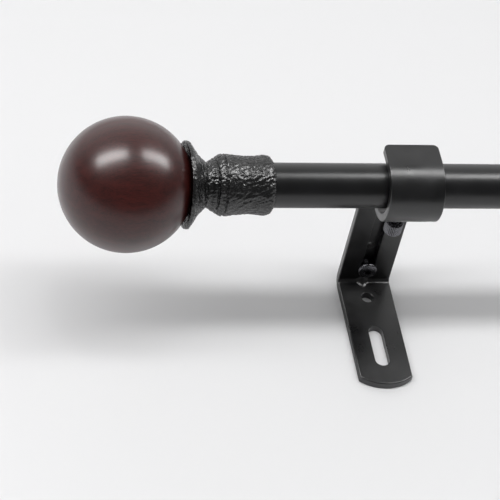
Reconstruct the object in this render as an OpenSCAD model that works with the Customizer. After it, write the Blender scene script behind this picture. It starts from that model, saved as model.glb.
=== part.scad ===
// Telescoping curtain rod with ball finials and two adjustable wall brackets.
// Millimetres. The rod lies along X. The wall plates stand on z = 0, so +Z points
// away from the wall and +Y is up once the brackets are screwed to a wall.

/* [Rod] */
// Outside diameter of the outer tube
outer_tube_d = 16; // [12:0.5:25]
// Wall of the outer tube
outer_tube_wall = 0.9; // [0.6:0.1:1.2]
// Length of the outer tube
outer_tube_l = 603; // [400:1:1000]
// Radial gap between the outer tube's bore and the inner tube
guide_gap = 0.6; // [0.4:0.05:1.5]
// Wall of the inner tube
inner_tube_wall = 0.8; // [0.6:0.1:1.2]
// Length of the inner tube that still shows with the rod pushed together
exposed_l = 108; // [100:1:300]
// Free length at the outer tube's closed end, before the inner tube starts
tail_gap = 5; // [4:0.5:40]
// Height of the rod's axis above the wall with the brackets fully retracted
rod_z = 70.9; // [62:0.1:100]

/* [Tube guides] */
// Length of the nylon bush in the outer tube's mouth
mouth_bush_l = 18; // [8:1:40]
// Thickness of the mouth bush's flange
mouth_flange_t = 1; // [0.6:0.1:2]
// Length of the nylon bush on the inner tube's tail
tail_bush_l = 15; // [8:1:40]

/* [Finials] */
// Diameter of the turned wooden ball
ball_d = 47.5; // [40:0.5:70]
// Radius of the flat that the ball seats on
seat_flat_r = 8.17; // [7:0.01:10]
// Radius of the collar's flared rim
rim_r = 15.4; // [13:0.1:20]
// Thickness of the rim's lip
rim_lip = 1.0; // [0.6:0.1:3]
// Radius of the collar's waist
waist_r = 7.7; // [6.5:0.1:9]
// Wall of the collar's socket, at the shoulder
socket_wall = 2.77; // [2:0.01:4]
// Depth of the socket that the tube end slips into
socket_depth = 16.9; // [10:0.1:22]
// Length of the collar from its seat to its open end
collar_l = 29.1; // [26:0.1:40]
// Diameter of the machine screw that holds the ball
finial_screw_d = 6; // [4:0.5:7]
// Reach of that screw past the seat into the ball
finial_screw_reach = 10; // [6:0.5:16]
// Wall of the brass insert in the ball
insert_wall = 1.5; // [1:0.1:2.5]
// Length of the brass insert
insert_l = 12; // [8:0.5:16]

/* [Brackets] */
// Width of the bracket strip
strip_w = 20; // [16:0.5:30]
// Thickness of the bracket strip
strip_t = 3; // [2:0.1:4]
// Distance from a tube's end to the middle of its bracket
bracket_inset = 67.5; // [64:0.5:150]
// Front face of the arm, behind the rod's axis
arm_y = 15.25; // [14:0.05:25]
// Gap between the arm's end and the hook above it
arm_gap = 3.9; // [1:0.1:10]
// Reach of the wall plate's rounded end in front of the rod's axis
plate_reach = 35; // [32:0.1:60]
// Radius of the wall plate's rounded end
plate_end_r = 15.7; // [15:0.1:20]
// Inside radius of the bend between plate and arm
bend_inner_r = 1.5; // [0.5:0.1:3]
// Place of the plate's round screw hole, behind the rod's axis
plate_hole_y = 6.85; // [3:0.05:9]
// Diameter of the plate's round screw hole
plate_hole_d = 4.6; // [4.5:0.1:6]
// Width of the plate's screw slot
plate_slot_w = 5.5; // [4.5:0.1:7]
// Length of the plate's screw slot
plate_slot_l = 19; // [10:0.5:22]
// Middle of the plate's screw slot, in front of the rod's axis
plate_slot_y = 16.75; // [14:0.05:20]
// Width of the arm's adjusting slot
arm_slot_w = 5; // [4.6:0.1:7]
// Clear metal above the arm's slot
arm_slot_top = 6; // [4:0.5:12]
// Sideways place of the pressed stiffening rib, from the strip's middle
rib_x = -0.7; // [-4:0.1:4]
// Radius of the pressed stiffening rib
rib_r = 2.2; // [1.5:0.1:3]
// Rise of the rib above the inside of the bend
rib_rise = 1.4; // [0.6:0.1:2]

/* [Hooks] */
// Gap between the rod and the inside of its cup
cup_gap = 1.1; // [0.5:0.05:3]
// Height of the cup's middle below the rod's axis
cup_drop = 0.9; // [0.3:0.05:1]
// Straight stretch of the cup's outer lip
lip_l = 9.75; // [5:0.25:14]
// Corner radius of the lip's free end
lip_corner_r = 2; // [0.5:0.1:5]
// Width that the leg loses at each edge of the strip
leg_inset = 2.5; // [0.5:0.1:4]
// Inside radius of the bend between cup and leg
leg_bend_r = 1.5; // [1:0.1:3]
// Distance between the leg's two tapped holes
leg_hole_pitch = 9.8; // [8:0.1:20]
// Metal below the leg's lower tapped hole, from its middle
leg_tail = 6; // [5:0.5:7]

/* [Screws] */
// Core diameter of the clamp screw and the thumb screw
screw_d = 3.3; // [2.5:0.1:4]
// Gap between the clamp screw's head and the rib below it
clamp_rib_gap = 0.2; // [0.1:0.1:4]
// Head diameter of the clamp screw
clamp_head_d = 7.3; // [6.5:0.1:9]
// Head height of the clamp screw
clamp_head_h = 1.9; // [1.5:0.1:3]
// Diameter of the thumb screw's knurled head
thumb_head_d = 6.6; // [5.5:0.1:10]
// Length of the thumb screw's knurled head
thumb_head_l = 5.5; // [4:0.1:8]
// Length of the thumb screw under its head
thumb_shank_l = 9.9; // [8:0.1:14]
// Sideways place of the thumb screw, from the hook's middle
thumb_x = -1.4; // [-4:0.1:4]
// Distance that the thumb screw backs out
thumb_travel = 3.5; // [2:0.1:4]

/* [Clearances] */
// Radial clearance of sliding and turning fits
fit_gap = 0.08; // [0.03:0.01:0.1]
// Radial clearance of seats that are glued, pressed or screwed up
seat_gap = 0.02; // [0.01:0.01:0.05]
// Clearance between the leg and the arm that it slides on
slide_gap = 0.1; // [0.05:0.05:0.3]
// Clearance between a screw and the face or tube that it bears on
bear_gap = 0.2; // [0.1:0.05:0.4]

/* [Hidden] */
SIDES = ["left", "right"];
$fn = 96;
over = 1; // cutters reach this far past the faces they cut
function hundredth(v) = round(v * 100) / 100;

outer_tube_r = outer_tube_d / 2;
outer_tube_bore_r = outer_tube_r - outer_tube_wall;
inner_tube_r = outer_tube_bore_r - guide_gap;
closed_l = outer_tube_l + exposed_l;
tube_left_x = -closed_l / 2;
tube_right_x = closed_l / 2;
mouth_x = tube_left_x + outer_tube_l;
tail_x = tube_left_x + tail_gap;
bracket_x = closed_l / 2 - bracket_inset;

// The finial is drawn along its axis, counted from the ball's centre.
ball_r = ball_d / 2;
ball_seat = hundredth(sqrt(ball_r * ball_r - seat_flat_r * seat_flat_r));
insert_d = finial_screw_d + 2 * insert_wall;
shoulder_r = outer_tube_r + fit_gap + socket_wall;
collar_end = ball_seat + collar_l;
socket_floor = collar_end - socket_depth;
tube_end = socket_floor + 0.2;
rim_s = ball_seat - 1.8;
finial_head_r = 5;
finial_head_h = 3.2;

// The bracket's sizes follow the strip and the rod.
arm_back_y = arm_y + strip_t;
bend_r = bend_inner_r + strip_t;
cup_r = outer_tube_r + cup_gap;
cup_z = rod_z - cup_drop;
cup_outer_r = cup_r + strip_t;
run_z = cup_z - cup_outer_r;                      // underside of the run behind the cup
arm_h = run_z - arm_gap;
leg_w = strip_w - 2 * leg_inset;
leg_y = arm_back_y + slide_gap;
screw_r = screw_d / 2;
tapped_r = screw_r + fit_gap;
arm_slot_top_z = arm_h - arm_slot_top;

// Distances along the diagonal of the bend, from the corner of its two inside faces.
bend_inside = bend_inner_r * (sqrt(2) - 1);
rib_crest = bend_inside + rib_rise;
clamp_z = hundredth(strip_t + rib_crest * sqrt(2) + clamp_rib_gap + clamp_head_d / 2);

// The row's origin is the middle of the bottom of its box.
plate_front_y = -plate_reach;
centre_y = -(plate_front_y + max(ball_r, leg_y + strip_t)) / 2;

black = [0.12, 0.12, 0.13];
cast_black = [0.09, 0.09, 0.09];
mahogany = [0.26, 0.08, 0.06];
steel = [0.55, 0.55, 0.56];
nylon = [0.85, 0.85, 0.82];
brass = [0.75, 0.62, 0.32];

function is_left(side) = side == "left";
function tube_r(side) = is_left(side) ? outer_tube_r : inner_tube_r;

// Places its children on the row's frame, with the rod's axis at y = 0 and the wall at z = 0.
module in_row() { translate([0, centre_y, 0]) children(); }

// Turns a solid drawn along Z into one that lies along the rod's axis.
module along_rod(x) { in_row() translate([x, 0, rod_z]) rotate([0, 90, 0]) children(); }

// Extrudes an outline of (y, z) points across the strip's width.
module across(w) { rotate([90, 0, 90]) linear_extrude(w, center = true) children(); }

// A rectangle between two corners. Shapes that meet name the same corner value.
module block(low, high) { polygon([low, [high[0], low[1]], high, [low[0], high[1]]]); }

// A plain tube from z = 0 up.
module ring(r_out, r_in, l) {
    difference() {
        cylinder(r = r_out, h = l);
        translate([0, 0, -over]) cylinder(r = r_in, h = l + 2 * over);
    }
}

// ---- rod

module outer_tube() {
    color(black) along_rod(tube_left_x) ring(outer_tube_r, outer_tube_bore_r, outer_tube_l);
}

module mouth_bush() {
    bore_r = inner_tube_r + fit_gap;
    color(black) along_rod(mouth_x) {
        translate([0, 0, -mouth_bush_l]) ring(outer_tube_bore_r - seat_gap, bore_r, mouth_bush_l);
        ring(outer_tube_r, bore_r, mouth_flange_t);
    }
}

module inner_tube() {
    color(black) along_rod(tail_x)
        ring(inner_tube_r, inner_tube_r - inner_tube_wall, tube_right_x - tail_x);
}

module tail_bush() {
    color(nylon) along_rod(tail_x)
        ring(outer_tube_bore_r - fit_gap, inner_tube_r + seat_gap, tail_bush_l);
}

// Brings the inner tube's end up to the outer tube's diameter, for the finial's socket.
module end_adapter() {
    color(black) along_rod(tube_right_x - socket_depth)
        ring(outer_tube_r, inner_tube_r + seat_gap, socket_depth - 0.2);
}

// ---- finials

// Puts a finial drawn along +Z from its ball's centre on the given end of the rod.
module on_rod_end(side) {
    end_x = closed_l / 2 + tube_end;
    if (is_left(side)) along_rod(-end_x) children();
    else in_row() translate([end_x, 0, rod_z]) rotate([0, -90, 0]) children();
}

module finial_ball(side) {
    insert_floor = ball_seat - insert_l - over;
    color(mahogany) on_rod_end(side) difference() {
        sphere(r = ball_r);
        translate([0, 0, ball_seat]) cylinder(r = ball_r, h = ball_r);
        translate([0, 0, insert_floor]) cylinder(d = insert_d, h = ball_r);
    }
}

module finial_insert(side) {
    color(brass) on_rod_end(side) translate([0, 0, ball_seat - insert_l])
        ring(insert_d / 2 - seat_gap, finial_screw_d / 2 + seat_gap, insert_l);
}

module finial_collar(side) {
    flare_l = 6.6;                                // from the rim to the waist
    waist_s = rim_s + rim_lip + flare_l;
    shoulder_s = waist_s + 5.1;
    bore_r = outer_tube_r + fit_gap;
    color(cast_black) on_rod_end(side) difference() {
        rotate_extrude() polygon([
            [0, ball_seat], [8.3, ball_seat], [rim_r - 2.9, rim_s + 1.1], [rim_r - 1.1, rim_s],
            [rim_r, rim_s], [rim_r, rim_s + rim_lip],
            [(rim_r + waist_r) / 2 - 0.5, rim_s + rim_lip + flare_l / 2 - 0.4],
            [waist_r, waist_s],
            [waist_r + 0.9, waist_s + 1.3], [waist_r + 0.6, waist_s + 2.1],
            [waist_r + 1.9, waist_s + 3.1], [waist_r + 1.4, waist_s + 4.2],
            [shoulder_r, shoulder_s], [shoulder_r - 0.75, (shoulder_s + collar_end) / 2],
            [shoulder_r - 0.55, collar_end - 5], [shoulder_r - 0.2, collar_end - 2.5],
            [shoulder_r - 0.65, collar_end - 1], [bore_r + 0.9, collar_end], [0, collar_end]]);
        translate([0, 0, socket_floor]) cylinder(r = bore_r, h = socket_depth + over);
        translate([0, 0, ball_seat - over])
            cylinder(d = finial_screw_d + 0.4, h = socket_floor - ball_seat + 2 * over);
    }
}

module finial_screw(side) {
    shank_l = finial_screw_reach + socket_floor - ball_seat;
    into_head = 0.5;
    color(steel) on_rod_end(side) {
        translate([0, 0, ball_seat - finial_screw_reach])
            cylinder(d = finial_screw_d, h = shank_l + into_head);
        translate([0, 0, socket_floor]) difference() {
            cylinder(r = finial_head_r, h = finial_head_h);
            translate([0, 0, finial_head_h]) screw_cross(finial_head_r);
        }
    }
}

// A cross recess, cut down from z = 0 into a head of the given radius.
module screw_cross(head_r) {
    blade = head_r * 1.1;
    slit = head_r * 0.26;
    for (turn = [0, 90]) rotate([0, 0, turn + 45])
        translate([-blade / 2, -slit / 2, -head_r * 0.36]) cube([blade, slit, head_r]);
}

// ---- brackets

// Puts a bracket piece on its side's bracket station.
module at_bracket(side) {
    in_row() translate([is_left(side) ? -bracket_x : bracket_x, 0, 0]) children();
}

// A slot's outline along Y, with round ends.
module slot_outline(w, l) {
    square([w, l - w], center = true);
    for (end = [-1, 1]) translate([0, end * (l - w) / 2]) circle(d = w);
}

module plate_outline() {
    half = strip_w / 2;
    end_y = plate_front_y + plate_end_r;
    block([-half, end_y], [half, arm_back_y - bend_r]);
    intersection() {
        translate([0, end_y]) circle(r = plate_end_r);
        block([-half, plate_front_y], [half, end_y]);
    }
}

module arm_outline() {
    corner_r = 3;
    half = strip_w / 2;
    block([-half, bend_r], [half, arm_h - corner_r]);
    block([corner_r - half, bend_r], [half - corner_r, arm_h]);
    for (end = [-1, 1])
        translate([end * (half - corner_r), arm_h - corner_r]) circle(r = corner_r);
}

// A quarter of a bent strip, in the quadrant that the two signs name.
module bend_outline(r_out, r_in, sign_y, sign_z) {
    intersection() {
        difference() {
            circle(r = r_out);
            circle(r = r_in);
        }
        translate([sign_y > 0 ? 0 : -r_out, sign_z > 0 ? 0 : -r_out]) square(r_out);
    }
}

// A rod laid across the bend at 45 degrees, with its axis this far along the bend's diagonal.
module rib_rod(r, out) {
    reach = 12;
    translate([rib_x, arm_y - out / sqrt(2), strip_t + out / sqrt(2)])
        rotate([-45, 0, 0]) cylinder(r = r, h = reach, center = true);
}

module wall_bracket(side) {
    rib_reach = 8;
    dimple_r = rib_r - 0.4;
    dimple_depth = 1;
    color(black) at_bracket(side) difference() {
        union() {
            linear_extrude(strip_t) plate_outline();
            translate([0, arm_back_y, 0]) rotate([90, 0, 0]) linear_extrude(strip_t) arm_outline();
            across(strip_w) translate([arm_back_y - bend_r, bend_r])
                bend_outline(bend_r, bend_inner_r, 1, -1);
            intersection() {
                rib_rod(rib_r, rib_crest - rib_r);
                translate([-strip_w / 2, arm_y - rib_reach, strip_t / 2])
                    cube([strip_w, rib_reach + strip_t / 2, rib_reach + strip_t / 2]);
            }
        }
        translate([0, plate_hole_y, -over]) cylinder(d = plate_hole_d, h = strip_t + 2 * over);
        translate([0, -plate_slot_y, -over]) linear_extrude(strip_t + 2 * over)
            slot_outline(plate_slot_w, plate_slot_l);
        arm_slot();
        rib_rod(dimple_r, bend_inside - strip_t + dimple_depth - dimple_r);
    }
}

// The arm's adjusting slot starts half a slot width below the clamp screw.
module arm_slot() {
    bottom_z = clamp_z - arm_slot_w / 2;
    translate([0, arm_back_y + over, (bottom_z + arm_slot_top_z) / 2]) rotate([90, 0, 0])
        linear_extrude(strip_t + 2 * over) slot_outline(arm_slot_w, arm_slot_top_z - bottom_z);
}

module lip_outline() {
    half = strip_w / 2;
    block([-half, 0], [half, lip_l - lip_corner_r]);
    block([lip_corner_r - half, 0], [half - lip_corner_r, lip_l]);
    for (end = [-1, 1])
        translate([end * (half - lip_corner_r), lip_l - lip_corner_r]) circle(r = lip_corner_r);
}

module hook(side) {
    bend_y = leg_y - leg_bend_r;
    bend_z = run_z - leg_bend_r;
    wide_run = bend_y - 4;
    leg_bottom = clamp_z - leg_tail;
    color(black) at_bracket(side) difference() {
        union() {
            translate([0, 0, cup_z + cup_r]) linear_extrude(strip_t) lip_outline();
            across(strip_w) translate([0, cup_z]) {
                bend_outline(cup_outer_r, cup_r, -1, 1);
                bend_outline(cup_outer_r, cup_r, -1, -1);
            }
            across(strip_w) block([0, run_z], [wide_run, cup_z - cup_r]);
            across(leg_w) {
                block([0, run_z], [bend_y, run_z + strip_t]);
                translate([bend_y, bend_z])
                    bend_outline(leg_bend_r + strip_t, leg_bend_r, 1, 1);
                block([leg_y, leg_bottom], [leg_y + strip_t, bend_z]);
            }
        }
        translate([thumb_x, 0, run_z - over]) cylinder(r = tapped_r, h = strip_t + 2 * over);
        for (step = [0, 1]) translate([0, leg_y + strip_t + over, clamp_z + step * leg_hole_pitch])
            rotate([90, 0, 0]) cylinder(r = tapped_r, h = strip_t + 2 * over);
    }
}

// ---- screws

// Drawn head down, with the shank's tip just short of the tube it clamps.
module thumb_screw(side) {
    tip_z = rod_z - tube_r(side) - bear_gap;
    chamfer = 0.5;
    head_r = thumb_head_d / 2;
    color(black) at_bracket(side) translate([thumb_x, 0, tip_z - thumb_shank_l - thumb_head_l]) {
        rotate_extrude() polygon([
            [0, 0], [head_r - chamfer, 0], [head_r, chamfer], [head_r, thumb_head_l - chamfer],
            [head_r - chamfer, thumb_head_l], [0, thumb_head_l]]);
        cylinder(r = screw_r, h = thumb_head_l + thumb_shank_l);
    }
}

module clamp_screw(side) {
    face_y = arm_y - bear_gap;
    tip_y = leg_y + strip_t + 1;
    head_r = clamp_head_d / 2;
    dome_r = 5.2;
    color(steel) at_bracket(side) translate([0, face_y, clamp_z]) rotate([90, 0, 0]) {
        translate([0, 0, face_y - tip_y]) cylinder(r = screw_r, h = tip_y - face_y);
        difference() {
            intersection() {
                cylinder(r = head_r, h = clamp_head_h);
                translate([0, 0, clamp_head_h - dome_r]) sphere(r = dome_r);
            }
            translate([0, 0, clamp_head_h]) screw_cross(head_r);
        }
    }
}

outer_tube();
mouth_bush();
inner_tube();
tail_bush();
end_adapter();
for (side = SIDES) {
    finial_ball(side);
    finial_insert(side);
    finial_collar(side);
    finial_screw(side);
    wall_bracket(side);
    hook(side);
    thumb_screw(side);
    clamp_screw(side);
}
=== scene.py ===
import math

import bmesh
import bpy
from mathutils import Matrix, Vector, noise


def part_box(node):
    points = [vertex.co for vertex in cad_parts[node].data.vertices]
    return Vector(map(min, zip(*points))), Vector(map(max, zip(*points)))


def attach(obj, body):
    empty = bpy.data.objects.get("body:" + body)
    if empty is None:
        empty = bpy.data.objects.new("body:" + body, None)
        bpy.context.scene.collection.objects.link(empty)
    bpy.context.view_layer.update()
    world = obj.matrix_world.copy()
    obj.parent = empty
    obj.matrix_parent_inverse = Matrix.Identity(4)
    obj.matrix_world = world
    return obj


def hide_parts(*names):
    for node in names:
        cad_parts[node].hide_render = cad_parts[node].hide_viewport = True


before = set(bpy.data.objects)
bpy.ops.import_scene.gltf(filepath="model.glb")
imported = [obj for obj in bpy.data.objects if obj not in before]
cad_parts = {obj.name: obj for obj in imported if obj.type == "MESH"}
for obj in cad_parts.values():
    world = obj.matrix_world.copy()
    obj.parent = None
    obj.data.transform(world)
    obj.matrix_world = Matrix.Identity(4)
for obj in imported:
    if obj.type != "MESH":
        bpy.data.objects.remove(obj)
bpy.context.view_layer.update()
mm = 0.001
sides = ("left", "right")


# ---- places, all read from the frame

tubeLow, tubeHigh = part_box("outer_tube")
innerLow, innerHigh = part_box("inner_tube")
rodY = (tubeLow.y + tubeHigh.y) / 2
rodZ = (tubeLow.z + tubeHigh.z) / 2
tubeRadius = (tubeHigh.z - tubeLow.z) / 2
innerRadius = (innerHigh.z - innerLow.z) / 2
hookX = {side: sum(corner.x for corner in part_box(side + "_hook")) / 2 for side in sides}


# ---- small helpers

def srgb(hexCode):
    # sRGB hex to the linear colour that a shader wants
    parts = [int(hexCode[i:i + 2], 16) / 255 for i in (1, 3, 5)]
    return [p / 12.92 if p <= 0.04045 else ((p + 0.055) / 1.055) ** 2.4 for p in parts] + [1.0]


def addNode(tree, kind, inputs=None, **settings):
    # one node with its settings, its fixed inputs and its links
    node = tree.nodes.new(kind)
    for key, value in settings.items():
        setattr(node, key, value)
    for key, value in (inputs or {}).items():
        if isinstance(value, bpy.types.NodeSocket):
            tree.links.new(value, node.inputs[key])
        else:
            node.inputs[key].default_value = value
    return node


def cuts(first, length, count):
    # places that divide a length into so many equal parts
    return [first + length * k / count for k in range(count + 1)]


def newMaterial(name, **principled):
    # an empty material with one Principled shader; fixed values go straight on its sockets
    material = bpy.data.materials.new(name)
    material.use_nodes = True
    tree = material.node_tree
    tree.nodes.clear()
    shader = addNode(tree, "ShaderNodeBsdfPrincipled", principled)
    addNode(tree, "ShaderNodeOutputMaterial", {"Surface": shader.outputs["BSDF"]})
    coords = addNode(tree, "ShaderNodeTexCoord")
    return material, tree, shader, coords.outputs["Object"]


def ramp(tree, factor, stops):
    # colour ramp from (place, colour) pairs
    node = addNode(tree, "ShaderNodeValToRGB", {"Fac": factor})
    while len(node.color_ramp.elements) < len(stops):
        node.color_ramp.elements.new(0.5)
    for element, (place, colour) in zip(node.color_ramp.elements, stops):
        element.position = place
        element.color = colour
    return node.outputs["Color"]


def noiseOf(tree, vector, sizeInMm, detail, **more):
    # a noise whose spots are about sizeInMm across
    inputs = {"Vector": vector, "Scale": 1000 / sizeInMm, "Detail": detail, **more}
    return addNode(tree, "ShaderNodeTexNoise", inputs).outputs["Fac"]


def dressed(material, tree, shader, tint, pattern, span, gloss, relief, bump):
    # a material with its colour, a roughness that goes from one gloss to the other where the pattern
    # crosses the span, and a bump with its strength and its depth in millimetres
    shine = addNode(tree, "ShaderNodeMapRange", {
        "Value": pattern, "From Min": span[0], "From Max": span[1], "To Min": gloss[0], "To Max": gloss[1]})
    bumps = addNode(tree, "ShaderNodeBump", {
        "Height": relief, "Strength": bump[0], "Distance": bump[1] * mm})
    tree.links.new(tint, shader.inputs["Base Color"])
    tree.links.new(shine.outputs["Result"], shader.inputs["Roughness"])
    tree.links.new(bumps.outputs["Normal"], shader.inputs["Normal"])
    return material


def newObject(name, mesh, material):
    if material is not None:
        mesh.materials.clear()
        mesh.materials.append(material)
    piece = bpy.data.objects.new(name, mesh)
    bpy.context.scene.collection.objects.link(piece)
    return piece


def place(piece, body, slotName, *nodes):
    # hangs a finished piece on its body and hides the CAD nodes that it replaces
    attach(piece, body)
    if nodes:
        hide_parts(*nodes)
    return piece


print("helpers ready")


# ---- materials

# Powder coat on tube: satin, almost black, with a fine orange peel that softens the highlight
tubeFinish = {"name": "satin_black_powder_coat", "colour": "#0a0a0b", "worn": "#121214", "wornAt": 0.75,
              "specular": 0.65, "cloudMm": 14, "cloudDetail": 4.0, "gloss": (0.28, 0.34),
              "peelMm": 0.9, "peelDetail": 2.0, "bump": (0.05, 0.1)}
# Stoved enamel on steel strip: its gloss varies more than the tube's
stripFinish = {"name": "semi_gloss_black_enamel", "colour": "#09090a", "worn": "#131315", "wornAt": 0.8,
               "specular": 0.8, "cloudMm": 9, "cloudDetail": 5.0, "gloss": (0.27, 0.38),
               "peelMm": 1.1, "peelDetail": 3.0, "bump": (0.08, 0.1)}


def makePaint(look):
    material, tree, shader, place3d = newMaterial(look["name"], **{"Specular IOR Level": look["specular"]})
    cloud = noiseOf(tree, place3d, look["cloudMm"], look["cloudDetail"])
    peel = noiseOf(tree, place3d, look["peelMm"], look["peelDetail"])
    tint = ramp(tree, cloud, [(0.35, srgb(look["colour"])), (look["wornAt"], srgb(look["worn"]))])
    return dressed(material, tree, shader, tint, cloud, (0.3, 0.7), look["gloss"], peel, look["bump"])


# Sand-cast metal under gloss black: the lumps are in the mesh, the grit between them is bump
castFinish = {"colour": "#080808", "high": "#151516", "specular": 0.75, "gritMm": 0.55,
              "gloss": (0.36, 0.18), "bump": (0.7, 0.12)}


def makeCastBlack(look):
    material, tree, shader, place3d = newMaterial("sand_cast_gloss_black", **{
        "Specular IOR Level": look["specular"]})
    grit = noiseOf(tree, place3d, look["gritMm"], 5.0, Roughness=0.65)
    tint = ramp(tree, grit, [(0.35, srgb(look["colour"])), (0.7, srgb(look["high"]))])
    return dressed(material, tree, shader, tint, grit, (0.35, 0.65), look["gloss"], grit, look["bump"])


# Turned beech, stained mahogany, under satin lacquer: faint grain in a deep red-brown
woodFinish = {"dark": "#2b0b09", "light": "#441511", "ringMm": 2.4, "poreMm": 0.3, "poreShare": 0.55,
              "gloss": (0.33, 0.43), "specular": 0.3, "coat": 0.62, "coatRoughness": 0.24,
              "bump": (0.16, 0.1), "squeeze": (0.12, 1.0, 1.0)}


def makeStainedWood(look):
    material, tree, shader, place3d = newMaterial("mahogany_stained_wood_satin_lacquer", **{
        "Specular IOR Level": look["specular"], "Coat Weight": look["coat"],
        "Coat Roughness": look["coatRoughness"]})
    # the grain runs along the rod, so the pattern is squeezed that way
    along = addNode(tree, "ShaderNodeMapping", {"Vector": place3d, "Scale": look["squeeze"]})
    rings = noiseOf(tree, along.outputs["Vector"], look["ringMm"], 4.0, Distortion=0.6)
    pores = noiseOf(tree, along.outputs["Vector"], look["poreMm"], 2.0)
    both = addNode(tree, "ShaderNodeMix", {
        "Factor": look["poreShare"], "A": rings, "B": pores}, data_type="FLOAT").outputs["Result"]
    tint = ramp(tree, both, [(0.36, srgb(look["dark"])), (0.64, srgb(look["light"]))])
    return dressed(material, tree, shader, tint, both, (0.0, 1.0), look["gloss"], both, look["bump"])


def makeGrained(name, colour, darkShare, grain, gloss, bump, **principled):
    # one fine grain in a colour, its gloss and its bump; the grain is a size in millimetres and a detail
    material, tree, shader, place3d = newMaterial(name, **principled)
    pattern = noiseOf(tree, place3d, *grain)
    light = srgb(colour)
    dark = [c * darkShare for c in light[:3]] + [1.0]
    tint = ramp(tree, pattern, [(0.3, dark), (0.7, light)])
    return dressed(material, tree, shader, tint, pattern, (0.0, 1.0), gloss, pattern, bump)


def makeMetal(name, colour, roughness, grainMm):
    # turned or plated metal with a fine machining grain
    gloss = (roughness - 0.06, roughness + 0.08)
    return makeGrained(name, colour, 0.7, (grainMm, 3.0), gloss, (0.1, 0.05), Metallic=1.0)


def makeNylon(name, colour):
    # injection-moulded nylon with a fine spark-eroded matt
    return makeGrained(name, colour, 0.85, (0.3, 2.0), (0.42, 0.58), (0.15, 0.03), **{
        "Specular IOR Level": 0.45})


tubePaint = makePaint(tubeFinish)
stripPaint = makePaint(stripFinish)
castBlack = makeCastBlack(castFinish)
stainedWood = makeStainedWood(woodFinish)
blackOxide = makeMetal("black_oxide_steel", "#78787c", 0.25, 0.4)    # slightly oily steel screws
zincSteel = makeMetal("zinc_plated_steel", "#b9bcc0", 0.3, 0.6)      # bright screws inside the finials
turnedBrass = makeMetal("turned_brass", "#c9a45a", 0.28, 0.3)        # insert pressed into the wood
blackNylon = makeNylon("moulded_black_nylon", "#17181a")
whiteNylon = makeNylon("moulded_natural_nylon", "#d9d6cb")
print("materials ready")


# ---- turned pieces

def turned(profile, steps):
    # Revolves (along, radius) points round the Z axis. A radius of 0 makes a pole. Normals are
    # weighted by the length of each stretch, so long stretches stay flat beside small roundings.
    count = len(profile)
    stretch = [(profile[(i + 1) % count][0] - profile[i][0], profile[(i + 1) % count][1] - profile[i][1])
               for i in range(count)]
    slopes = []
    for i in range(count):
        slope = Vector((0, 0))
        for j in (i - 1, i):
            da, dr = stretch[j]
            onAxis = profile[j][1] < 1e-7 and profile[(j + 1) % count][1] < 1e-7
            if not onAxis:
                slope += Vector((-dr, da))
        slopes.append(slope.normalized() if slope.length > 1e-12 else Vector((1, 0)))
    points, faces, normals, rings = [], [], [], []
    for (along, radius), (slopeA, slopeR) in zip(profile, slopes):
        if radius < 1e-7:
            rings.append([len(points)] * steps)
            points.append(Vector((0, 0, along)))
            normals.append(Vector((0, 0, 1 if slopeA > 0 else -1)))
            continue
        rings.append([len(points) + k for k in range(steps)])
        for k in range(steps):
            turn = 2 * math.pi * k / steps
            points.append(Vector((radius * math.cos(turn), radius * math.sin(turn), along)))
            normals.append(Vector((slopeR * math.cos(turn), slopeR * math.sin(turn), slopeA)).normalized())
    for i in range(count):
        a, b = rings[i], rings[(i + 1) % count]
        for k in range(steps):
            n = (k + 1) % steps
            corners = [a[k], a[n], b[n], b[k]]
            corners = [c for j, c in enumerate(corners) if c != corners[j - 1]]
            if len(corners) >= 3:
                faces.append(corners)
    return points, faces, normals


def cornerArc(before, corner, after, radius, bits):
    # a corner replaced by a small arc, which takes less than half of either side
    mostOfSide = 0.45
    here = Vector(corner)
    back, ahead = Vector(before) - here, Vector(after) - here
    reach = min(radius, back.length * mostOfSide, ahead.length * mostOfSide)
    first, last = here + back.normalized() * reach, here + ahead.normalized() * reach
    return [tuple(first * (1 - t) ** 2 + here * 2 * t * (1 - t) + last * t ** 2) for t in cuts(0, 1, bits)]


def rounded(corners, radius, bits=3):
    # a closed outline with its corners rounded, and kept sharp where it touches the axis
    out = []
    for i, corner in enumerate(corners):
        after = corners[(i + 1) % len(corners)]
        out += [corner] if corner[1] < 1e-7 else cornerArc(corners[i - 1], corner, after, radius, bits)
    return out


def meshFrom(name, points, faces, normals, matrix):
    # a mesh with its place in its points and its own smooth normals
    mesh = bpy.data.meshes.new(name)
    mesh.from_pydata([matrix @ p for p in points], [], faces)
    turn = matrix.to_3x3()
    mesh.shade_smooth()
    mesh.normals_split_custom_set_from_vertices([(turn @ n).normalized() for n in normals])
    mesh.validate()
    return mesh


def turnedPiece(name, profile, matrix, material, steps):
    return newObject(name, meshFrom(name, *turned(profile, steps), matrix), material)


def alongRod(x):
    # a frame whose Z runs along the rod, starting at x
    return Matrix.Translation((x, rodY, rodZ)) @ Matrix.Rotation(math.pi / 2, 4, "Y")


def tubeProfile(outer, inner, length, edge):
    return rounded([(0, inner), (0, outer), (length, outer), (length, inner)], edge)


tubeLook = {"edge": 0.25 * mm, "wall": 0.9 * mm, "innerWall": 0.8 * mm, "steps": 128}


def makeTubes(look):
    tubes = (("outer_tube", "outer_rod", tubeLow, tubeHigh, look["wall"]),
             ("inner_tube", "inner_rod", innerLow, innerHigh, look["innerWall"]))
    for name, body, low, high, wall in tubes:
        radius = (high.z - low.z) / 2
        profile = tubeProfile(radius, radius - wall, high.x - low.x, look["edge"])
        skin = turnedPiece(name + "_skin", profile, alongRod(low.x), tubePaint, look["steps"])
        place(skin, body, "tube", name)


makeTubes(tubeLook)
print("tubes made")


# Guides between the tubes, and the sleeve that brings the inner tube up to the finial's socket
guideLook = {"sleeveGap": 0.02 * mm, "slideGap": 0.08 * mm, "flange": 1.0 * mm, "edge": 0.3 * mm,
             "steps": 96}


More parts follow.
